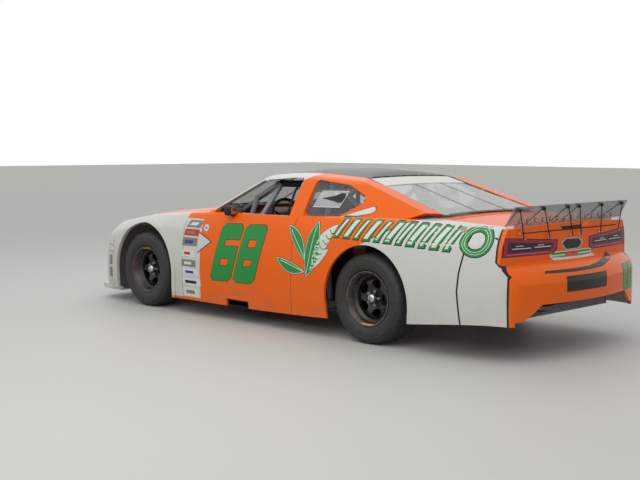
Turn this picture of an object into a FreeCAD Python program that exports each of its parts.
"""Full-size stock car: tube-frame chassis, hollow panelled body, roll cage, steered and rolling wheels.

Millimetres. +X points forward, +Y to the car's left, +Z up. The origin is on the ground, under
the middle of the car's overall length and width. Outlines of the body are given by their distance
ahead of the rear axle.
"""
import FreeCAD, Part
import math
import os

# Driving dimensions of the whole car
WHEELBASE = 2740.0
REAR_OVERHANG = 1380.0
FRONT_OVERHANG = 960.0
LENGTH = WHEELBASE + REAR_OVERHANG + FRONT_OVERHANG
REAR_AXLE = REAR_OVERHANG - LENGTH / 2
FRONT_AXLE = REAR_AXLE + WHEELBASE
NOSE = LENGTH / 2
TAIL = -LENGTH / 2
SKIN = 24.0
GLASS_INSET = 5.0
GLASS = 6.0
FAR = 3000.0

# Lids and their hinges
LID_GAP = 8.0
HOOD_HINGE = 2190.0
DECK_HINGE = -592.0
DECK_END = -1180.0
HINGE_DROP = 17.0
HINGE_PIN = 5.0
HINGE_BARREL = 9.0
HINGE_CLEAR = 0.3
HOOD_SLOT = 20.0
DECK_SLOT = 20.0

# Wheels and tyres
TYRE_RADIUS = 343.0
TYRE_WIDTH = 290.0
TRACK = 1570.0
RIM_WIDTH = 250.0
RIM_RADIUS = 208.0
BEAD_RADIUS = 191.0
RIM_WALL = 7.0
VENT_HOLES = 5
VENT_LONG = 46.0
VENT_SHORT = 30.0
VENT_CIRCLE = 112.0
SPINDLE = 25.0
SPINDLE_CLEAR = 0.3
KINGPIN_Y = 690.0
KINGPIN_PIN = 12.0
BALL_JOINT_Z = 105.0
WHEEL_Y = TRACK / 2

# Chassis tubes
RAIL = 60.0
TUBE = 22.0
SIDE_TUBE = 20.0
CROSS_TUBE = 18.0
FLOOR_Z = 150.0
FLOOR = 3.0
RAIL_Y = 590.0
CELL_RAIL_Y = 440.0
SEAT_CLEAR = 0.3
ENGINE_RAIL_Y = 380.0
SEAT_Y = 400.0
SEAT_HALF = 210.0

# Wheel arches
ARCH_RADIUS = 415.0
FRONT_ARCH_RADIUS = 440.0
REAR_ARCH_X = -18.0

V = FreeCAD.Vector
Y_AXIS = V(0, 1, 0)
Z_AXIS = V(0, 0, 1)
PARTS = {}


def aft(distance):
    """Place along the car from its distance ahead of the rear axle."""
    return REAR_AXLE + distance


def curve(*points):
    """Smooth monotone curve through chosen points, as a function of place."""
    places = [p[0] for p in points]
    values = [p[1] for p in points]
    steps = [b - a for a, b in zip(places, places[1:])]
    rises = [(b - a) / s for a, b, s in zip(values, values[1:], steps)]
    slopes = [rises[0]]
    for a, b in zip(rises, rises[1:]):
        slopes.append(0.0 if a * b <= 0 else 2 * a * b / (a + b))
    slopes.append(rises[-1])

    def value(place):
        if place <= places[0]:
            return values[0] + (place - places[0]) * slopes[0]
        if place >= places[-1]:
            return values[-1] + (place - places[-1]) * slopes[-1]
        i = max(k for k in range(len(steps)) if places[k] <= place)
        t = (place - places[i]) / steps[i]
        start = (1 + 2 * t) * (1 - t) ** 2 * values[i] + t * (1 - t) ** 2 * steps[i] * slopes[i]
        end = t * t * (3 - 2 * t) * values[i + 1] + t * t * (t - 1) * steps[i] * slopes[i + 1]
        return start + end

    return value


def block(x0, x1, y0, y1, z0, z1):
    """Box between two corners."""
    corner = V(min(x0, x1), min(y0, y1), min(z0, z1))
    return Part.makeBox(abs(x1 - x0), abs(y1 - y0), abs(z1 - z0), corner)


def rod(start, end, radius):
    """Round bar between two points."""
    a, b = V(*start), V(*end)
    return Part.makeCylinder(radius, (b - a).Length, a, b - a)


def fused(shapes):
    """One solid from touching or overlapping shapes."""
    return shapes[0] if len(shapes) == 1 else shapes[0].multiFuse(shapes[1:])


def bars(points, radius):
    """Straight round bars along a bent line, one solid a run, each longer at the bend by its mitre."""
    spots = [V(*p) for p in points]
    ways = [(b - a).normalize() for a, b in zip(spots, spots[1:])]
    mitres = [0.0] + [radius * math.tan(a.getAngle(b) / 2) for a, b in zip(ways, ways[1:])] + [0.0]
    shapes = []
    for i, way in enumerate(ways):
        start = spots[i] - way * mitres[i]
        end = spots[i + 1] + way * mitres[i + 1]
        shapes.append(Part.makeCylinder(radius, (end - start).Length, start, way))
    return shapes


def parted(shapes, others=()):
    """Welded bars as separate solids: each is cut back to the surface of those before it."""
    done = []
    for shape in shapes:
        box = shape.BoundBox
        near = [s for s in list(others) + done if s.BoundBox.intersect(box)]
        if near:
            shape = shape.cut(near)
        done.append(largest(shape))
    return done


def beam(start, end, width, height):
    """Straight bar of oblong section between two points, its height near upright."""
    a, b = V(*start), V(*end)
    along = b - a
    side = V(along.y, -along.x, 0)
    side = side.normalize() if side.Length > 1 else V(1, 0, 0)
    up = side.cross(along).normalize()
    corners = [a + side * (width / 2 * i) + up * (height / 2 * j) for i, j in ((1, 1), (-1, 1), (-1, -1), (1, -1))]
    return Part.Face(Part.makePolygon(corners + corners[:1])).extrude(along)


def prism(outline, direction):
    """Extrusion of a closed flat outline of points."""
    wire = Part.makePolygon([V(*p) for p in outline] + [V(*outline[0])])
    return Part.Face(wire).extrude(V(*direction))


def side_prism(outline, y0, y1):
    """Extrusion across the car of an outline seen from the side."""
    return prism([(x, y0, z) for x, z in outline], (0, y1 - y0, 0))


def top_prism(outline, z0, z1):
    """Extrusion upwards of an outline seen from above."""
    return prism([(x, y, z0) for x, y in outline], (0, 0, z1 - z0))


def end_prism(outline, x0, x1):
    """Extrusion along the car of an outline seen from behind."""
    return prism([(x0, y, z) for y, z in outline], (x1 - x0, 0, 0))


def rounded(outline, radius):
    """Closed outline of flat points with its corners rounded, as points and arcs in one wire."""
    edges = []
    count = len(outline)
    ends = []
    for i in range(count):
        before, here, after = V(*outline[i - 1]), V(*outline[i]), V(*outline[(i + 1) % count])
        back = (before - here).normalize()
        ahead = (after - here).normalize()
        half = math.acos(max(-1.0, min(1.0, back.dot(ahead)))) / 2
        reach = radius / math.tan(half)
        middle = here + (back + ahead).normalize() * (radius / math.sin(half) - radius)
        ends.append((here + back * reach, middle, here + ahead * reach))
    for i, (start, middle, end) in enumerate(ends):
        edges.append(Part.Arc(start, middle, end).toShape())
        edges.append(Part.LineSegment(end, ends[(i + 1) % count][0]).toShape())
    return Part.Wire(edges)


def rounded_prism(outline, radius, direction):
    """Extrusion of a closed outline with rounded corners."""
    return Part.Face(rounded(outline, radius)).extrude(V(*direction))


def turned(profile):
    """Solid turned about the Y axis from (radius, y) points."""
    return Part.Face(Part.makePolygon([V(r, y, 0) for r, y in profile + profile[:1]])).revolve(V(), Y_AXIS, 360)


def ring(points_out, points_in):
    """Turned ring about the Y axis, smooth outside and straight inside, from (radius, y) points."""
    outer = Part.BSplineCurve()
    outer.interpolate([V(r, y, 0) for r, y in points_out])
    inner = Part.makePolygon([V(r, y, 0) for r, y in [points_out[-1]] + points_in + [points_out[0]]])
    return Part.Face(Part.Wire([outer.toShape()] + inner.Edges)).revolve(V(), Y_AXIS, 360)


def arc(a, b, c):
    """Circular edge through three points, or a straight one where they are in line."""
    a, b, c = V(*a), V(*b), V(*c)
    if (b - a).cross(c - b).Length < 1e-3 * (c - a).Length:
        return Part.LineSegment(a, c).toShape()
    return Part.Arc(a, b, c).toShape()


def mirrored(shape):
    """The same shape on the other side of the car."""
    return shape.mirror(V(), Y_AXIS)


def moved(shape, x, y, z):
    """A shape carried to another place."""
    copy = shape.copy()
    copy.translate(V(x, y, z))
    return copy


def largest(shape):
    """The biggest solid of a cut."""
    return max(shape.Solids, key=lambda s: s.Volume)


SCRAP = 50.0


def keep(name, *shapes):
    """Stores a node's solids, without the scraps of a cut."""
    solids = [s for shape in shapes for s in shape.Solids if s.Volume > SCRAP]
    PARTS[name] = solids[0] if len(solids) == 1 else Part.makeCompound(solids)


def keep_pair(name, shape):
    """Stores a left node and its mirror image on the right."""
    keep(name + "_left", shape)
    keep(name + "_right", mirrored(shape))


# Lower body: half widths and heights against the distance ahead of the rear axle
WAIST_Z = 470.0
TUCK = 60.0
BULGE = 5.0
SHOULDER_INSET = 1 / 3
EDGE_INSET = 0.9
BODY_TOP = 1100.0
HULL_STATIONS = (-1460, -1130, -850, -450, 0, 420, 900, 1500, 2100, 2450, 2740, 2950, 3170, 3350, 3480, 3580, 3800)
waist_y = curve((-1460, 790), (-1230, 834), (-900, 920), (-420, 966), (0, 975), (420, 966), (900, 950),
                (1500, 944), (2150, 950), (2740, 968), (3170, 925), (3350, 880), (3450, 835), (3540, 780),
                (3800, 600))
sill_y = curve((-1460, 785), (-1230, 826), (-900, 908), (-420, 950), (0, 958), (420, 950), (900, 936),
               (1500, 930), (2150, 936), (2740, 955), (3170, 916), (3350, 874), (3450, 830), (3540, 775),
               (3800, 600))
sill_z = curve((-1460, 275), (-900, 252), (-420, 208), (360, 158), (1000, 136), (1600, 128), (2300, 128),
               (3170, 138), (3450, 112), (3800, 112))
shoulder_y = curve((-1460, 772), (-1230, 812), (-900, 890), (-420, 942), (0, 952), (420, 938), (900, 918),
                   (1500, 913), (2150, 922), (2740, 938), (3170, 902), (3350, 855), (3450, 812),
                   (3540, 755), (3800, 580))
shoulder_z = curve((-1460, 770), (-900, 800), (-420, 805), (0, 805), (900, 790), (1500, 775), (2150, 760),
                   (2740, 740), (3170, 672), (3450, 610), (3800, 500))
edge_y = curve((-1460, 742), (-1130, 776), (-700, 802), (-200, 838), (400, 866), (900, 872), (1500, 872),
               (1900, 858), (2300, 838), (2740, 825), (3170, 795), (3350, 758), (3450, 720), (3800, 520))
edge_z = curve((-1460, 905), (-1130, 922), (-700, 936), (-200, 950), (400, 938), (900, 917), (1500, 912),
               (1900, 905), (2300, 872), (2740, 838), (2930, 811), (3170, 768), (3450, 722), (3800, 620))
crown_z = curve((-1460, 922), (-1130, 942), (-700, 966), (-200, 985), (400, 975), (900, 960), (1500, 950),
                (1900, 940), (2150, 931), (2450, 906), (2740, 882), (3170, 838), (3450, 792), (3800, 705))


def hull_section(place, inset):
    """Closed section of the lower body, moved inwards by an inset."""
    x = aft(place)
    sy, sz = sill_y(place) - inset, sill_z(place) - (TUCK if inset > 0 else 0)
    wy = waist_y(place) - inset
    hy, hz = shoulder_y(place) - inset, shoulder_z(place) - inset * SHOULDER_INSET
    ey, ez = edge_y(place) - inset * EDGE_INSET, edge_z(place) - inset
    cz = crown_z(place) - inset
    my, mz = (hy + ey) / 2 + BULGE, (hz + ez) / 2 + BULGE
    return Part.Wire([
        Part.LineSegment(V(x, -sy, sz), V(x, sy, sz)).toShape(),
        arc((x, sy, sz), (x, wy, WAIST_Z), (x, hy, hz)),
        arc((x, hy, hz), (x, my, mz), (x, ey, ez)),
        arc((x, ey, ez), (x, 0, cz), (x, -ey, ez)),
        arc((x, -ey, ez), (x, -my, mz), (x, -hy, hz)),
        arc((x, -hy, hz), (x, -wy, WAIST_Z), (x, -sy, sz)),
    ])


def upright_turned(axis, outline):
    """Solid turned about an upright axis from (reach, z) points, closed on the axis."""
    points = [V(axis, 0, outline[0][1])] + [V(axis + r, 0, z) for r, z in outline] + [V(axis, 0, outline[-1][1])]
    return Part.Face(Part.makePolygon(points + points[:1])).revolve(V(axis, 0, 0), Z_AXIS, 360)


# Tail and nose, bowed as seen from above
BUMPER_BOW = 2340.0
FASCIA_BOW = 7000.0
NOSE_BOW = 1850.0
FASCIA = ((182, 0), (182, 690), (180, 745), (177, 830), (174, 925), (170, BODY_TOP))
BUMPER = ((0, 0), (0, 545), (8, 585), (34, 628), (80, 668), (215, 708), (400, 716))
NOSE_FACE = ((18, 60), (14, 140), (14, 420), (24, 480), (44, 540), (78, 605), (122, 668), (176, 716),
             (250, 760), (350, 796), (500, 832), (800, 990))
REAR_CUT = ((-790, 292), (-720, 296), (-640, 345), (-560, 402), (560, 402), (640, 345), (720, 296),
            (790, 292))
REAR_CUT_DEPTH = 700.0


def fascia_x(y, z):
    """Place along the car of the tail's upper face at a half width and height."""
    depth = curve(*[(height, d) for d, height in FASCIA[2:]])(z)
    return TAIL + FASCIA_BOW - math.sqrt((FASCIA_BOW - depth) ** 2 - y ** 2)


def tail_form(inset):
    """Space ahead of the tail's face, moved forwards by an inset."""
    fascia = upright_turned(TAIL + FASCIA_BOW, [(FASCIA_BOW - d - inset, z) for d, z in FASCIA])
    bumper = upright_turned(TAIL + BUMPER_BOW, [(BUMPER_BOW - d - inset, z - inset) for d, z in BUMPER])
    return fascia.fuse(bumper).fuse(block(0, FAR, -FAR / 2, FAR / 2, -inset, BODY_TOP))


def nose_form(inset):
    """Space behind the nose's face, moved backwards by an inset."""
    axis = NOSE - NOSE_BOW
    face = upright_turned(axis, [(NOSE_BOW - d - inset, z) for d, z in NOSE_FACE])
    return face.fuse(block(-FAR, axis + NOSE_BOW / 3, -FAR / 2, FAR / 2, 0, BODY_TOP))


def hull(inset):
    """Lower body filled solid, between its tail and nose faces."""
    loft = Part.makeLoft([hull_section(p, inset) for p in HULL_STATIONS], True, False)
    return loft.common(tail_form(inset)).common(nose_form(inset))


# Greenhouse: base and roof edge half widths, roof edge and crown heights
CABIN_BASE_Z = 860.0
CABIN_STATIONS = (-760, -400, 0, 400, 800, 1200, 1500, 1900, 2300)
base_y = curve((-760, 780), (-400, 830), (0, 868), (400, 893), (900, 900), (1500, 898), (1900, 882),
               (2300, 850))
roof_y = curve((-760, 560), (-400, 585), (0, 618), (400, 645), (900, 655), (1400, 650), (1900, 620),
               (2300, 590))
roof_z = curve((-760, 1150), (0, 1195), (400, 1218), (900, 1240), (1300, 1232), (1500, 1210), (2300, 1090))
peak_z = curve((-760, 1175), (0, 1235), (300, 1262), (600, 1290), (850, 1300), (1100, 1294), (1350, 1272),
               (1600, 1235), (2300, 1110))
CORNER = 45.0
SCREEN_BOW = 1320.0
SCREEN_BASE = (2165.0, 930.0)
SCREEN_LEAN = 2.15
BACK_BOW = 3600.0
BACK_BASE = (-560.0, 975.0)
BACK_LEAN = 3.36
GLASS_SPAN = (700.0, 1400.0)


def cabin_section(place, inset):
    """Closed section of the greenhouse, moved inwards by an inset."""
    x = aft(place)
    by, bz = base_y(place) - inset, CABIN_BASE_Z - (TUCK if inset else 0)
    ry, rz = roof_y(place) - inset * EDGE_INSET, roof_z(place) - inset
    cz = peak_z(place) - inset
    side = V(0, by - ry, bz - rz).normalize() * CORNER
    top = V(0, -ry, (cz - rz) * 2).normalize() * CORNER
    low = (ry + side.y, rz + side.z)
    high = (ry + top.y, rz + top.z)
    turn = ((low[0] + high[0]) / 4 + ry / 2, (low[1] + high[1]) / 4 + rz / 2)
    flank = ((by + low[0]) / 2 + BULGE, (bz + low[1]) / 2)
    return Part.Wire([
        Part.LineSegment(V(x, -by, bz), V(x, by, bz)).toShape(),
        arc((x, by, bz), (x, flank[0], flank[1]), (x, low[0], low[1])),
        arc((x, low[0], low[1]), (x, turn[0], turn[1]), (x, high[0], high[1])),
        arc((x, high[0], high[1]), (x, 0, cz), (x, -high[0], high[1])),
        arc((x, -high[0], high[1]), (x, -turn[0], turn[1]), (x, -low[0], low[1])),
        arc((x, -low[0], low[1]), (x, -flank[0], flank[1]), (x, -by, bz)),
    ])


def leaning_form(base, lean, bow, inset, forwards):
    """Space inside a bowed glass surface that leans with height, moved inwards by an inset."""
    z0, z1 = GLASS_SPAN
    sign = 1 if forwards else -1
    x0 = aft(base[0]) - sign * (lean * (z0 - base[1]) + inset * math.hypot(1, lean))
    disc = Part.Face(Part.Wire(Part.makeCircle(bow, V(x0 - sign * bow, 0, z0), Z_AXIS)))
    return disc.extrude(V(-sign * lean * (z1 - z0), 0, z1 - z0))


def cabin(inset):
    """Greenhouse filled solid, between the windscreen's and the rear window's surfaces."""
    loft = Part.makeLoft([cabin_section(p, inset) for p in CABIN_STATIONS], True, False)
    screen = leaning_form(SCREEN_BASE, SCREEN_LEAN, SCREEN_BOW, inset, True)
    back = leaning_form(BACK_BASE, BACK_LEAN, BACK_BOW, inset, False)
    return loft.common(screen).common(back)


ARCH_Z = TYRE_RADIUS - 5
ARCH_INSIDE = 400.0
REAR_ARCH_FOOT = 0.93
FRONT_ARCH_FOOT = 0.96
FLARE_INSIDE = 600.0
FLARE_WIDTH = 42.0
FLARE_OUT = 9.0
FLARE_SECTIONS = 6
FLARE_FOOT = math.pi / 3


def arch(x, radius, foot, reach):
    """Space of one left wheel opening, from a reach off the middle plane outwards."""
    circle = Part.makeCylinder(radius, FAR, V(x, reach, ARCH_Z), Y_AXIS)
    skirt = [(x - radius, ARCH_Z), (x + radius, ARCH_Z), (x + radius * foot, 0), (x - radius * foot, 0)]
    return circle.fuse(side_prism(skirt, reach, FAR))


def arches(reach):
    """Wheel openings cut through both sides."""
    rear = arch(aft(REAR_ARCH_X), ARCH_RADIUS, REAR_ARCH_FOOT, reach)
    left = rear.fuse(arch(FRONT_AXLE, FRONT_ARCH_RADIUS, FRONT_ARCH_FOOT, reach))
    return left, mirrored(left)


def sections(band):
    """Band round the front wheel cut along rays from the wheel's middle, its feet in the end sections."""
    rays = [math.pi * k / FLARE_SECTIONS for k in range(FLARE_SECTIONS + 1)]
    rays = [-FLARE_FOOT] + rays[1:-1] + [math.pi + FLARE_FOOT]
    tips = [(FRONT_AXLE + FAR * math.cos(ray), ARCH_Z + FAR * math.sin(ray)) for ray in rays]
    return [band.common(side_prism([(FRONT_AXLE, ARCH_Z), a, b], 0, FAR)) for a, b in zip(tips, tips[1:])]


def flares(outer):
    """Raised bands round the front wheel openings."""
    space = arch(FRONT_AXLE, FRONT_ARCH_RADIUS + FLARE_WIDTH, FRONT_ARCH_FOOT, FLARE_INSIDE)
    band = hull(-FLARE_OUT).common(space).cut(arch(FRONT_AXLE, FRONT_ARCH_RADIUS, FRONT_ARCH_FOOT, ARCH_INSIDE))
    band = largest(band.cut(outer))
    left = [largest(piece) for piece in sections(band)]
    keep("fender_left", PARTS["fender_left"], *left)
    keep("fender_right", PARTS["fender_right"], *[mirrored(piece) for piece in left])


# Lid outlines seen from above, by distance ahead of the rear axle
HOOD_SIDE = ((HOOD_HINGE, 735), (2740, 700), (3330, 560))
HOOD_FRONT = (3480.0, 380.0)
DECK_SIDE = ((DECK_HINGE, 640), (DECK_END, 655))
DECK_LOW = 894.0
DECK_RUN = 300.0
LID_SPACE_LOW = 500.0


def hood_outline(grow):
    """Hood seen from above, grown on the sides and front; the rear edge lies on the hinge line."""
    right = [(aft(x), -(y + grow)) for x, y in HOOD_SIDE]
    edge, half = HOOD_FRONT[0] + grow, HOOD_FRONT[1] + grow
    front = [(aft(edge), -half), (aft(edge), half)]
    rear = aft(HOOD_HINGE - (HOOD_SLOT if grow else 0))
    outline = [(rear, right[0][1])] + right[1:] + front + [(x, -y) for x, y in reversed(right[1:])]
    return outline + [(rear, -right[0][1])]


def deck_outline(grow):
    """Decklid seen from above, grown on the sides; its front edge lies on the hinge line."""
    front = aft(DECK_HINGE + (DECK_SLOT if grow else 0))
    rear = aft(DECK_END - (DECK_RUN if grow else 0))
    y0, y1 = DECK_SIDE[0][1] + grow, DECK_SIDE[1][1] + grow
    return [(rear, -y1), (front, -y0), (front, y0), (rear, y1)]


DOOR_REAR = 777.0
DOOR_FRONT = 2165.0
NOSE_SEAM = 3300.0
COWL_REAR = 1840.0
COWL_HALF = 700.0
COWL_LOW = 700.0
SHELF_FRONT = -300.0
SHELF_HALF = 640.0
SHELF_LOW = 800.0
SILL_NOTCH = (1304.0, 1584.0, 190.0)
TAIL_SEAM = ((-873, 0), (-871, 241), (-848, 480), (-858, 610), (-909, 872), (-935, 1100))


def side_panels(skin, cabin_in):
    """Doors, fenders, quarters, cowl, rear shelf strip and the two bumper covers."""
    hood_space = top_prism(hood_outline(LID_GAP), LID_SPACE_LOW, FAR)
    deck_space = top_prism(deck_outline(LID_GAP), DECK_LOW - LID_GAP, FAR)
    body = skin.cut(fused([cabin_in.fuse(moved(cabin_in, 0, 0, -TUCK * 2)), hood_space, deck_space]))
    left_arch, right_arch = arches(ARCH_INSIDE)
    notch = block(aft(SILL_NOTCH[0]), aft(SILL_NOTCH[1]), -FAR, FAR, 0, SILL_NOTCH[2])
    first, last = REAR_CUT[0][0], REAR_CUT[-1][0]
    rear_cut = end_prism([(first, 0)] + list(REAR_CUT) + [(last, 0)], TAIL - REAR_CUT_DEPTH, TAIL + REAR_CUT_DEPTH)
    body = body.cut(fused([left_arch, right_arch, notch])).cut(rear_cut)
    return body


def split_panels(body):
    """Cuts the body shell into its panels."""
    seam = [(aft(x), z) for x, z in TAIL_SEAM]
    behind = side_prism([(-FAR, seam[0][1])] + seam + [(-FAR, seam[-1][1])], -FAR, FAR)
    keep("rear_bumper", largest(body.common(behind)))
    rest = body.cut(behind)
    nose = rest.common(block(aft(NOSE_SEAM), FAR, -FAR, FAR, -FAR, FAR))
    keep("front_bumper", largest(nose))
    cowl = block(aft(COWL_REAR), aft(HOOD_HINGE), -COWL_HALF, COWL_HALF, COWL_LOW, FAR)
    keep("cowl", largest(rest.common(cowl)))
    shelf = block(aft(DECK_HINGE), aft(SHELF_FRONT), -SHELF_HALF, SHELF_HALF, SHELF_LOW, FAR)
    keep("rear_shelf", largest(rest.common(shelf)))
    sides = rest.cut(fused([cowl, shelf]))
    for side, sign in (("_left", 1), ("_right", -1)):
        spans = (("quarter", -FAR, DOOR_REAR), ("door", DOOR_REAR, DOOR_FRONT), ("fender", DOOR_FRONT, NOSE_SEAM))
        for name, x0, x1 in spans:
            piece = sides.common(block(aft(x0), aft(x1), 0, sign * FAR, -FAR, FAR))
            keep(name + side, largest(piece))


# Window openings: side outlines by distance ahead of the rear axle and height,
# top outlines by distance and half width
DOOR_WINDOW = ((883, 880), (1935, 880), (1405, 1184), (915, 1224))
QUARTER_WINDOW = ((746, 928), (760, 1216), (394, 1178), (140, 1078), (361, 941))
SCREEN_SIDE = ((2110, 0), (2045, 400), (1885, 690), (1400, 596), (1448, 400), (1490, 0))
BACK_SIDE = ((-480, 600), (355, 508))
WINDOW_ROUND = 35.0
WINDOW_INSIDE = 300.0
WINDOW_LOW = 880.0


def window_spaces():
    """Openings of the greenhouse: door, quarter, windscreen and rear window, left and right together."""
    door = [(aft(x), WINDOW_INSIDE, z) for x, z in DOOR_WINDOW]
    quarter = [(aft(x), WINDOW_INSIDE, z) for x, z in QUARTER_WINDOW]
    half = [(aft(x), y, WINDOW_LOW) for x, y in SCREEN_SIDE]
    screen = half + [(x, -y, z) for x, y, z in reversed(half[1:-1])]
    back = [(aft(x), y, WINDOW_LOW) for x, y in BACK_SIDE]
    back = back + [(x, -y, z) for x, y, z in reversed(back)]
    spaces = {"door": rounded_prism(door, WINDOW_ROUND, (0, FAR, 0))}
    spaces["quarter"] = rounded_prism(quarter, WINDOW_ROUND, (0, FAR, 0))
    spaces["screen"] = rounded_prism(screen, WINDOW_ROUND, (0, 0, FAR))
    spaces["back"] = rounded_prism(back, WINDOW_ROUND, (0, 0, FAR))
    return spaces


def greenhouse(outer, house, house_in):
    """Roof with its pillars, and the four panes set into its openings."""
    spaces = window_spaces()
    both = [spaces["door"], mirrored(spaces["door"]), spaces["quarter"], mirrored(spaces["quarter"])]
    shell = house.cut(house_in).cut(outer)
    keep("roof", largest(shell.cut(fused(both + [spaces["screen"], spaces["back"]]))))
    pane = cabin(GLASS_INSET).cut(cabin(GLASS_INSET + GLASS)).cut(outer)
    keep("windscreen", largest(pane.common(spaces["screen"])))
    keep("rear_window", largest(pane.common(spaces["back"])))
    keep_pair("quarter_window", largest(pane.common(spaces["quarter"])))


HINGE_WIDTH = 60.0
HINGE_OUT = 18.0
HINGE_EAR = (8.0, 18.0)
HINGE_EAR_LONG = 12.0
HINGE_EAR_RISE = (-8.0, 5.0)
HINGE_NUB = 8.0
HINGE_STRAP_LOW = 2.0
HINGE_LEAF = 6.0
POCKET_HALF = 56.0
POCKET_DEPTH = 60.0


def hinge(x, z, places, arm, gap):
    """Lid hinges: barrels and arms for the lid, pins and brackets for the body. arm points into the lid."""
    barrels, pins = [], []
    half = HINGE_WIDTH / 2
    near, far = half + HINGE_EAR[0], half + HINGE_EAR[1]
    low, high = z + HINGE_EAR_RISE[0], z + HINGE_EAR_RISE[1]
    away = -math.copysign(gap + HINGE_EAR_LONG, arm)
    for y in places:
        barrel = rod((x, y - half, z), (x, y + half, z), HINGE_BARREL)
        strap = block(x, x + arm, y - half, y + half, z - HINGE_STRAP_LOW, z + HINGE_DROP - HINGE_LEAF)
        bore = rod((x, y - HINGE_WIDTH, z), (x, y + HINGE_WIDTH, z), HINGE_PIN + HINGE_CLEAR)
        barrels.append(barrel.fuse(strap).cut(bore))
        pin = rod((x, y - half - HINGE_OUT, z), (x, y + half + HINGE_OUT, z), HINGE_PIN)
        ears = [block(x, x + away, y + s * near, y + s * far, low, high) for s in (1, -1)]
        nubs = [rod((x, y + s * near, z), (x, y + s * far, z), HINGE_NUB) for s in (1, -1)]
        pins.append(fused([pin] + ears + nubs))
    return barrels, pins


def hinge_pockets(x, z, places, reach):
    """Hollows under a lid's edge that give the hinge pins room."""
    top = z + HINGE_DROP - HINGE_LEAF
    return fused([block(x - reach, x + reach, y - POCKET_HALF, y + POCKET_HALF, z - POCKET_DEPTH, top) for y in places])


HINGE_PLACES = (-320.0, 320.0)
HINGE_ARM = 60.0
HOOD_LOW = 640.0


def lids(skin, outer):
    """Hood and decklid with their hinge halves, and the spoiler and its struts."""
    hood = largest(skin.common(top_prism(hood_outline(0), HOOD_LOW, FAR)))
    z = crown_z(HOOD_HINGE) - HINGE_DROP
    barrels, pins = hinge(aft(HOOD_HINGE), z, HINGE_PLACES, HINGE_ARM, HOOD_SLOT)
    hood = hood.cut(hinge_pockets(aft(HOOD_HINGE), z, HINGE_PLACES, HINGE_OUT))
    keep("hood", fused([hood] + [b.common(outer) for b in barrels]))
    PARTS["cowl"] = fused([PARTS["cowl"]] + pins)
    deck_space = top_prism(deck_outline(0), DECK_LOW, FAR)
    deck = largest(skin.common(deck_space))
    z = crown_z(DECK_HINGE) - HINGE_DROP
    barrels, pins = hinge(aft(DECK_HINGE), z, HINGE_PLACES, -HINGE_ARM, DECK_SLOT)
    deck = deck.cut(hinge_pockets(aft(DECK_HINGE), z, HINGE_PLACES, HINGE_OUT))
    keep("decklid", fused([deck] + [b.common(outer) for b in barrels]))
    PARTS["rear_shelf"] = fused([PARTS["rear_shelf"]] + pins)


SPOILER_HALF = 765.0
SPOILER_BASE = (-1128.0, 925.0)
SPOILER_TOP = (-1206.0, 1078.0)
SPOILER_BLADE = 6.0
STRUT_HEADS = (690.0, 390.0, 75.0)
STRUT_FEET = (635.0, 345.0, 57.0)
STRUT_FOOT_Z = 845.0
STRUT_REACH = 95.0
STRUT = 4.0
CLAMP = 12.0
FOOT_CLEAR = 26.0
STAY_SINK = 12.0
STAY_INSIDE = 30.0
BLADE_STEP = 200.0
BLADE_RISE = 2.0


def spoiler_blade(outer):
    """Leaning clear blade across the tail, cut to stand on the body beside the lid."""
    (bx, bz), (tx, tz) = SPOILER_BASE, SPOILER_TOP
    base, top = aft(bx), aft(tx)
    section = [(base, bz), (base + SPOILER_BLADE, bz), (top + SPOILER_BLADE, tz), (top, tz)]
    blade = side_prism(section, -SPOILER_HALF, SPOILER_HALF).cut(outer)
    for side in (1, -1):
        height = crown_z(bx) + BLADE_RISE
        corner = block(base - BLADE_STEP, base + BLADE_STEP, side * DECK_SIDE[1][1], side * FAR, 0, height)
        blade = blade.cut(corner)
    return largest(blade)


def strut_pair(head_y, foot_y, side):
    """Clamp on the blade with a thin rod down to the tail and a short stay to the lid."""
    (bx, bz), (tx, tz) = SPOILER_BASE, SPOILER_TOP
    slope = (bx - tx) / (tz - bz)
    z = tz - 2 * CLAMP
    x = aft(tx) + 2 * CLAMP * slope + SPOILER_BLADE / 2
    y = side * head_y
    clamp = block(x - CLAMP, x + CLAMP, y - CLAMP / 2, y + CLAMP / 2, z - CLAMP, z + CLAMP)
    foot = (fascia_x(foot_y, STRUT_FOOT_Z) - FOOT_CLEAR, side * foot_y, STRUT_FOOT_Z)
    stay = (aft(bx) + STRUT_REACH, side * min(head_y, DECK_SIDE[1][1] - STAY_INSIDE), crown_z(bx) - STAY_SINK)
    strut = rod(foot, (x - CLAMP + STRUT / 2, y, z), STRUT)
    return fused([clamp, strut, rod(stay, (x + CLAMP / 2, y, z), STRUT)])


def spoiler(outer):
    """Clear blade across the tail, and the thin struts that brace it from the decklid."""
    blade = spoiler_blade(outer)
    keep("spoiler", blade)
    pairs = [strut_pair(head, foot, side) for head, foot in zip(STRUT_HEADS, STRUT_FEET) for side in (1, -1)]
    keep("spoiler_struts", *[pair.cut(outer).cut(blade) for pair in pairs])


SPLITTER_BOW = 2460.0
SPLITTER_LOW = 96.0
SPLITTER_LIP = 142.0
SPLITTER_SIDE = ((3215, 858), (3330, 862), (3480, 850), (3560, 820))
SPLITTER_FRONT = 600.0
SPLITTER_PLATE = 13.0


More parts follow.
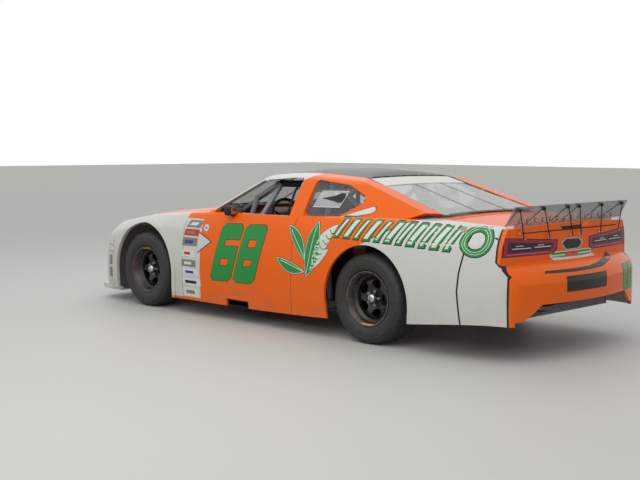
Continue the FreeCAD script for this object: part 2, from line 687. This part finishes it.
def splitter(outer):
    """Flat plate under the nose with an upturned lip round its edge."""
    axis = NOSE - SPLITTER_BOW
    disc = Part.makeCylinder(SPLITTER_BOW, SPLITTER_LIP - SPLITTER_LOW, V(axis, 0, SPLITTER_LOW))
    left = [(aft(x), y) for x, y in SPLITTER_SIDE] + [(NOSE + RAIL, SPLITTER_FRONT)]
    outline = left + [(x, -y) for x, y in reversed(left)]
    plate = disc.common(top_prism(outline, 0, 2 * SPLITTER_LOW)).cut(outer)
    inside = hull(SKIN + RAIL).common(block(0, FAR, -FAR, FAR, SPLITTER_LOW + SPLITTER_PLATE, FAR))
    keep("splitter", largest(plate.cut(inside)))


# Chassis frame: rail and cross member places by distance ahead of the rear axle, half width and height
RAIL_Z = FLOOR_Z + RAIL / 2 + 15
RAIL_DEEP = RAIL * 0.65
RAIL_PATH = ((3230, ENGINE_RAIL_Y, 330), (2330, ENGINE_RAIL_Y, 330), (2060, RAIL_Y, RAIL_Z),
             (300, RAIL_Y, RAIL_Z), (170, CELL_RAIL_Y, 470), (-230, CELL_RAIL_Y, 470),
             (-420, CELL_RAIL_Y, 330), (-1160, CELL_RAIL_Y, 330))
CROSS_MEMBERS = ((3200, ENGINE_RAIL_Y, 330), (2090, RAIL_Y, RAIL_Z), (330, RAIL_Y, RAIL_Z),
                 (-240, CELL_RAIL_Y, 470), (-1130, 560, 315))
TOW_PLATE = 12.0
TOW_EYE = (-1220.0, 330.0, 20.0)
BRACKET_PLACES = (560.0, 1840.0)
BRACKET_Z = 190.0
BRACKET = 12.0
BRACKET_REACH = WHEEL_Y * 1.3


def side_rail(skin, s):
    """One rail with its joints, runs and body brackets."""
    deep, half = RAIL_DEEP, RAIL / 2
    path = [(aft(x), s * y, h) for x, y, h in RAIL_PATH]
    pieces = [block(x - deep, x + deep, y - half, y + half, h - deep, h + deep) for x, y, h in path[1:-1]]
    pieces += [beam(a, b, RAIL, 2 * deep) for a, b in zip(path, path[1:])]
    for x in BRACKET_PLACES:
        bar = rod((aft(x), s * RAIL_Y, BRACKET_Z), (aft(x), s * BRACKET_REACH, BRACKET_Z), BRACKET).cut(skin)
        pieces.append(min(bar.Solids, key=lambda b: abs(b.CenterOfMass.y)))
    return pieces


def tow_eye():
    """Flat plate on the left rail's end with an upright hole."""
    x, z, r = aft(TOW_EYE[0]), TOW_EYE[1], TOW_EYE[2]
    plate = block(x - 2 * r, x + 4 * r, CELL_RAIL_Y - 2 * r, CELL_RAIL_Y + 2 * r, z - TOW_PLATE / 2, z + TOW_PLATE / 2)
    return plate.cut(rod((x, CELL_RAIL_Y, z - RAIL), (x, CELL_RAIL_Y, z + RAIL), r))


def frame(skin):
    """Box-section side rails with their kick-ups, the cross members between them and the body brackets."""
    half = RAIL / 2
    pieces = [block(aft(x) - half, aft(x) + half, -y, y, h - half, h + half) for x, y, h in CROSS_MEMBERS]
    pieces += side_rail(skin, 1) + side_rail(skin, -1)
    keep("frame", *parted(pieces + [tow_eye()]))


# Roll cage: tube ends by distance ahead of the rear axle, half width and height
CAGE_LOW = FLOOR_Z + RAIL + 30
HOOP_X = 690.0
HALO_X = 1350.0
HOOP_SIDE = ((RAIL_Y, CAGE_LOW), (640, 880), (560, 1165))
HALO_END = (545, 1168)
CROSS_BAR = (630, 830)
DIAGONAL_TOP = (540, 1150)
HALO_LEG = ((HOOP_X, 555, 1165), (HALO_X, *HALO_END), (1790, 640, 870), (1960, RAIL_Y, CAGE_LOW))
WINDOW_BAR = ((HALO_X, 548, 1160), (1517, 640, 1040), (1560, 700, 800))
DOOR_BARS = ((350, 800), (500, 820), (650, 820), (800, 790))
DOOR_BAR_FRONT = (1975, 600, 240, 0.28)
DOOR_BAR_BOWS = (1600, 1000)
DOOR_BAR_REAR = 605
WINDOW_BRACE = ((1300, 552, 1166), (1382, 785, 800))
REAR_BRACE = ((HOOP_X, 500, 1160), (-390, CELL_RAIL_Y, 380))
NOSE_BRACE = ((1852, 622, 640), (2420, 420, 700), (3190, ENGINE_RAIL_Y, 360))


def on_side(points, s):
    """Points of a tube on one side of the car."""
    return [(aft(x), s * y, h) for x, y, h in points]


def cage_side(s):
    """Halo leg, window bars, door bars and braces of one side."""
    pieces = bars(on_side(HALO_LEG, s), SIDE_TUBE) + bars(on_side(WINDOW_BAR, s), TUBE)
    x, y, base, rake = DOOR_BAR_FRONT
    for h, bow in DOOR_BARS:
        middle = [(place, bow, h) for place in DOOR_BAR_BOWS]
        pieces += bars(on_side([(x - (h - base) * rake, y, h)] + middle + [(HOOP_X, DOOR_BAR_REAR, h)], s), TUBE)
    pieces += bars(on_side(WINDOW_BRACE, s), TUBE) + bars(on_side(REAR_BRACE, s), TUBE)
    return pieces + bars(on_side(NOSE_BRACE, s), TUBE)


def cage():
    """Roll cage: main hoop, halo, screen legs, door bars and rear braces."""
    x = aft(HOOP_X)
    right = [(x, -y, h) for y, h in HOOP_SIDE]
    pieces = bars(right + [(x, y, h) for y, h in reversed(HOOP_SIDE)], TUBE)
    half, z = CROSS_BAR
    pieces.append(rod((x, -half, z), (x, half, z), TUBE))
    pieces.append(rod((x, 0, z), (x, -DIAGONAL_TOP[0], DIAGONAL_TOP[1]), TUBE))
    pieces += cage_side(1) + cage_side(-1)
    half, z = HALO_END
    pieces.append(rod((aft(HALO_X), -half, z), (aft(HALO_X), half, z), CROSS_TUBE))
    keep("roll_cage", *parted(pieces, PARTS["frame"].Solids))


TUNNEL_HALF = 150.0
TUNNEL_TOP = 470.0
FLOOR_TOP = FLOOR_Z + RAIL + 35
FLOOR_ENDS = (282.0, 2060.0)
BULKHEAD = 3.0
FRONT_BULKHEAD = (700.0, 850.0)
REAR_BULKHEAD = (620.0, 915.0)
PARCEL_REAR = -420.0


def floor_and_bulkheads():
    """Cabin floor with its driveline tunnel, and the bulkheads before and behind the cabin."""
    x0, x1 = aft(FLOOR_ENDS[0]), aft(FLOOR_ENDS[1])
    pan = block(x0, x1, -RAIL_Y, RAIL_Y, FLOOR_TOP, FLOOR_TOP + FLOOR)
    tunnel = block(x0 - RAIL, x1 + RAIL, -TUNNEL_HALF, TUNNEL_HALF, 0, TUNNEL_TOP)
    half = TUNNEL_HALF + FLOOR
    cover = block(x0, x1, -half, half, FLOOR_TOP, TUNNEL_TOP + FLOOR).cut(tunnel)
    keep("floor_pan", pan.cut(tunnel).fuse(cover).cut(PARTS["roll_cage"]).cut(PARTS["frame"]))
    (front_y, front_z), (rear_y, rear_z) = FRONT_BULKHEAD, REAR_BULKHEAD
    front = block(x1, x1 + BULKHEAD, -front_y, front_y, FLOOR_TOP, front_z)
    rear = block(x0 - BULKHEAD, x0, -rear_y, rear_y, FLOOR_TOP, rear_z)
    keep("bulkheads", front.fuse(rear).cut(tunnel).cut(fused([PARTS["roll_cage"], PARTS["frame"]])))
    shelf = block(aft(PARCEL_REAR), x0 - BULKHEAD, -SHELF_HALF, SHELF_HALF, rear_z - BULKHEAD, rear_z)
    keep("parcel_shelf", shelf.cut(PARTS["roll_cage"]))


DASH = (1690.0, 2060.0, 560.0, 760.0, 840.0)


def dashboard():
    """Dash board across the cabin with the steering column."""
    rear, front, half, low, high = DASH
    panel = block(aft(rear), aft(front), -half, half, low, high)
    keep("dashboard", panel.fuse(rod(COLUMN_LOW, COLUMN_HIGH, COLUMN)))


COLUMN = 16.0
COLUMN_DIP = 0.24
COLUMN_REACH = (10.0, 420.0)
WHEEL_CENTRE = (aft(1395), SEAT_Y, 850.0)
COLUMN_LOW = (WHEEL_CENTRE[0] + COLUMN_REACH[1], SEAT_Y, WHEEL_CENTRE[2] - COLUMN_REACH[1] * COLUMN_DIP)
COLUMN_HIGH = (WHEEL_CENTRE[0] + COLUMN_REACH[0], SEAT_Y, WHEEL_CENTRE[2] - COLUMN_REACH[0] * COLUMN_DIP)
STEER_RADIUS = 178.0
STEER_GRIP = 13.0
STEER_BOSS = (34.0, 52.0, -12.0)
STEER_BORE = (60.0, 4.0)
STEER_SPOKE = 7.0
STEER_SPOKES = (90, 210, 330)


def steering_wheel():
    """Rim, three spokes and a boss that turns on the column's end."""
    centre = V(*WHEEL_CENTRE)
    axis = V(1, 0, -COLUMN_DIP).normalize()
    rim = Part.makeTorus(STEER_RADIUS, STEER_GRIP, centre, axis)
    radius, length, start = STEER_BOSS
    boss = Part.makeCylinder(radius, length, centre + axis * start, axis)
    bore = Part.makeCylinder(COLUMN + HINGE_CLEAR, STEER_BORE[0], centre + axis * STEER_BORE[1], axis)
    up = V(COLUMN_DIP, 0, 1).normalize()
    spokes = []
    for turn in STEER_SPOKES:
        a = math.radians(turn)
        tip = centre + Y_AXIS * (STEER_RADIUS * math.cos(a)) + up * (-STEER_RADIUS * math.sin(a))
        spokes.append(rod(tuple(centre), tuple(tip), STEER_SPOKE))
    keep("steering_wheel", fused([boss, rim] + spokes).cut(bore))


SEAT_WALL = 14.0
SEAT_LOW = FLOOR_TOP + FLOOR
BOLSTER_LOW = FLOOR_TOP + 60
SEAT_PROFILE = ((1290, 330), (1290, 420), (880, 340), (800, 1030), (770, 1030), (840, SEAT_LOW),
                (1260, SEAT_LOW))
BOLSTER = ((1290, BOLSTER_LOW), (1290, 470), (1080, 520), (960, 560), (930, 760), (900, 880), (920, 1040),
           (770, 1040), (840, BOLSTER_LOW))


def seat():
    """Deep bucket seat with side bolsters and a head rest."""
    y0, y1 = SEAT_Y - SEAT_HALF, SEAT_Y + SEAT_HALF
    base = side_prism([(aft(x), z) for x, z in SEAT_PROFILE], y0, y1)
    outline = [(aft(x), z) for x, z in BOLSTER]
    keep("seat", fused([base] + [side_prism(outline, y, y + SEAT_WALL) for y in (y0 - SEAT_WALL, y1)]))


# Power train: ends by distance ahead of the rear axle, then half width, low and high
ENGINE = (2200.0, 2880.0, 290.0, 270.0, 740.0)
GEARBOX = (1500.0, 330.0, 105.0)
SHAFT_END = 120.0
SHAFT = 40.0
FUEL_CELL = (-960.0, -440.0, 270.0, 560.0)
EXHAUST = (1320.0, 1568.0, 925.0, 135.0, 180.0)


def power():
    """Engine as one block, gearbox and propeller shaft, fuel cell and side exhausts."""
    rear, front, half, low, high = ENGINE
    keep("engine", block(aft(rear), aft(front), -half, half, low, high))
    back, z, radius = GEARBOX
    gearbox = rod((aft(rear), 0, z), (aft(back), 0, z), radius)
    keep("driveline", gearbox.fuse(rod((aft(back), 0, z), (aft(SHAFT_END), 0, TYRE_RADIUS), SHAFT)))
    rear, front, low, high = FUEL_CELL
    half = CELL_RAIL_Y - RAIL / 2 - SEAT_CLEAR
    keep("fuel_cell", block(aft(rear), aft(front), -half, half, low, high))
    rear, front, out, low, high = EXHAUST
    pipes = [block(aft(rear), aft(front), s * (RAIL_Y + RAIL / 2), s * out, low, high) for s in (1, -1)]
    keep("exhaust", Part.makeCompound(pipes))


AXLE_TUBE = 42.0
AXLE_SHORT = 130.0
AXLE_CASING = 125.0
SPINDLE_OUT = 36.0


def rear_axle():
    """Solid rear axle: tube, centre casing and the wheel spindles."""
    half, end = WHEEL_Y - AXLE_SHORT, WHEEL_Y + SPINDLE_OUT
    tube = rod((aft(0), -half, TYRE_RADIUS), (aft(0), half, TYRE_RADIUS), AXLE_TUBE)
    casing = Part.makeSphere(AXLE_CASING, V(aft(0), 0, TYRE_RADIUS))
    spindle = rod((aft(0), -end, TYRE_RADIUS), (aft(0), end, TYRE_RADIUS), SPINDLE)
    keep("rear_axle", fused([tube, casing, spindle]).cut(PARTS["driveline"]))


# Front wishbones: half spread at the rail, height there, sign of the ball joint, width and height of each arm
WISHBONES = ((150.0, 300.0, -1, 34.0, 22.0), (90.0, 365.0, 1, 26.0, 18.0))
CAPS = ((22.0, 20.0, -1), (20.0, 18.0, 1))
FRONT_SPRING = ((520.0, 250.0), (490.0, 620.0), 50.0)
TOWER = (40.0, 400.0, 520.0, 590.0, 640.0)
TRAILING_ARM = ((-30.0, 300.0, -118.0), (1150.0, 230.0, -158.0), 40.0, 46.0)
ARM_PLATE = (25.0, 20.0, -130.0, -30.0)
REAR_SPRING = (-110.0, 440.0, 330.0, 440.0, 55.0)


def front_corner(s):
    """Wishbones, kingpin, spring and tower of one front corner."""
    y, z = s * KINGPIN_Y, TYRE_RADIUS
    shapes = [rod((FRONT_AXLE, y, z - BALL_JOINT_Z), (FRONT_AXLE, y, z + BALL_JOINT_Z), KINGPIN_PIN)]
    for spread, height, end, width, deep in WISHBONES:
        tip = (FRONT_AXLE, y, z + end * BALL_JOINT_Z)
        shapes += [beam((FRONT_AXLE + dx, s * ENGINE_RAIL_Y, height), tip, width, deep) for dx in (spread, -spread)]
    for radius, height, end in CAPS:
        shapes.append(Part.makeCylinder(radius, height, V(FRONT_AXLE, y, z + end * BALL_JOINT_Z - height / 2)))
    (low_y, low_z), (high_y, high_z), radius = FRONT_SPRING
    shapes.append(rod((FRONT_AXLE, s * low_y, low_z), (FRONT_AXLE, s * high_y, high_z), radius))
    half, y0, y1, z0, z1 = TOWER
    shapes.append(block(FRONT_AXLE - half, FRONT_AXLE + half, s * y0, s * y1, z0, z1))
    return fused(shapes).cut(PARTS["frame"]).cut(PARTS["roll_cage"])


def rear_corner(s):
    """Trailing arm with its axle plate, and the spring on the axle."""
    (x0, y0, z0), (x1, y1, z1), width, deep = TRAILING_ARM
    arm = beam((aft(x0), s * y0, TYRE_RADIUS + z0), (aft(x1), s * y1, TYRE_RADIUS + z1), width, deep)
    half, thick, low, high = ARM_PLATE
    arm = arm.fuse(block(aft(-half), aft(half), s * y0 - thick, s * y0 + thick, TYRE_RADIUS + low, TYRE_RADIUS + high))
    x, y, low, high, radius = REAR_SPRING
    spring = rod((aft(x), s * y, low), (aft(x), s * y, high), radius)
    near = fused([PARTS["frame"], PARTS["rear_axle"]])
    return [arm.cut(fused([near, PARTS["floor_pan"]])), spring.cut(near)]


def suspension():
    """Front wishbones with kingpins and springs; rear trailing arms and springs."""
    keep("front_suspension", Part.makeCompound([front_corner(1), front_corner(-1)]))
    keep("rear_suspension", *(rear_corner(1) + rear_corner(-1)))


KNUCKLE_BARREL = 26.0
KNUCKLE_SHORT = 30.0
STEERING_ARM = (130.0, 12.0, -45.0, -20.0)


def knuckle():
    """Left steering knuckle: kingpin barrel, spindle and steering arm."""
    z = TYRE_RADIUS
    half = BALL_JOINT_Z - KNUCKLE_SHORT
    barrel = Part.makeCylinder(KNUCKLE_BARREL, 2 * half, V(FRONT_AXLE, KINGPIN_Y, z - half))
    spindle = rod((FRONT_AXLE, KINGPIN_Y, z), (FRONT_AXLE, WHEEL_Y + SPINDLE_OUT, z), SPINDLE)
    length, thick, low, high = STEERING_ARM
    arm = block(FRONT_AXLE - length, FRONT_AXLE, KINGPIN_Y - thick, KINGPIN_Y + thick, z + low, z + high)
    bore = Part.makeCylinder(KINGPIN_PIN + HINGE_CLEAR, 4 * half, V(FRONT_AXLE, KINGPIN_Y, z - 2 * half))
    return fused([barrel, spindle, arm]).cut(bore)


# Tyre and wheel sections as (radius, distance outwards) points
BEAD = RIM_WIDTH / 2 - 13
TYRE_SIDE = ((RIM_RADIUS + 1, BEAD), (RIM_RADIUS + 12, 130), (240, 141), (272, TYRE_WIDTH / 2), (300, 142),
             (322, 134), (335, 122), (341, 100))
LIP = RIM_WIDTH / 2
WELL = 165.0
RIM_SECTION = ((RIM_RADIUS, LIP), (RIM_RADIUS - 4, LIP - 8), (BEAD_RADIUS, LIP - 12), (BEAD_RADIUS, 70),
               (WELL, 50), (WELL, -40), (BEAD_RADIUS, -75), (BEAD_RADIUS, -LIP + 12),
               (RIM_RADIUS - 4, -LIP + 8), (RIM_RADIUS, -LIP))
DISC_SECTION = ((WELL - 1, 20), (WELL - 1, 34), (140, 52), (112, 58), (90, 48), (70, 40), (30, 40),
                (30, 28), (72, 28), (92, 36), (112, 46), (138, 40))
HUB_BORE = SPINDLE + SPINDLE_CLEAR
HUB_SECTION = ((0, 44), (0, 92), (20, 90), (34, 78), (36, 60), (36, -62), (HUB_BORE, -62), (HUB_BORE, 44))
BRAKE_SECTION = ((34, -58), (34, -36), (148, -36), (148, -58))


def tyre():
    """Tyre about the Y axis, its outer side towards +Y."""
    outline = list(TYRE_SIDE) + [(TYRE_RADIUS, 0)] + [(r, -y) for r, y in reversed(TYRE_SIDE)]
    radius = BEAD_RADIUS + SEAT_CLEAR
    return ring(outline, [(radius, -BEAD), (radius, BEAD)])


def vent(turn):
    """Oval space through the disc, turned round the axle by an angle in degrees."""
    middle = V(VENT_CIRCLE, 0, 0)
    oval = Part.Ellipse(middle + Z_AXIS * VENT_LONG, middle + V(VENT_SHORT, 0, 0), middle).toShape()
    space = Part.Face(Part.Wire(oval)).extrude(Y_AXIS * LIP)
    space.rotate(V(), Y_AXIS, turn)
    return space


def wheel():
    """Steel wheel about the Y axis with a vented disc, hub and hub cap, outer side towards +Y."""
    barrel = turned(list(RIM_SECTION) + [(r - RIM_WALL, y) for r, y in reversed(RIM_SECTION)])
    vents = [vent(360 * (i + 0.5) / VENT_HOLES) for i in range(VENT_HOLES)]
    disc = turned(list(DISC_SECTION)).cut(fused(vents))
    return fused([barrel, disc, turned(list(HUB_SECTION)), turned(list(BRAKE_SECTION))])


def place_wheels():
    """Four wheels and tyres, the left ones' outer side to the left."""
    rim, band = wheel(), tyre()
    for end, x in (("front", FRONT_AXLE), ("rear", aft(0))):
        keep_pair("wheel_" + end, moved(rim, x, WHEEL_Y, TYRE_RADIUS))
        keep_pair("tyre_" + end, moved(band, x, WHEEL_Y, TYRE_RADIUS))


def build():
    """Makes every node of the car."""
    outer = hull(0)
    skin = outer.cut(hull(SKIN))
    house, house_in = cabin(0), cabin(SKIN)
    split_panels(side_panels(skin, house_in))
    flares(outer)
    greenhouse(outer, house, house_in)
    lids(skin, outer)
    spoiler(outer)
    splitter(outer)
    frame(skin)
    cage()
    floor_and_bulkheads()
    dashboard()
    steering_wheel()
    seat()
    power()
    rear_axle()
    suspension()
    keep_pair("knuckle", knuckle())
    place_wheels()


build()
os.makedirs("parts", exist_ok=True)
for node, shape in PARTS.items():
    shape.exportStep("parts/" + node + ".step")
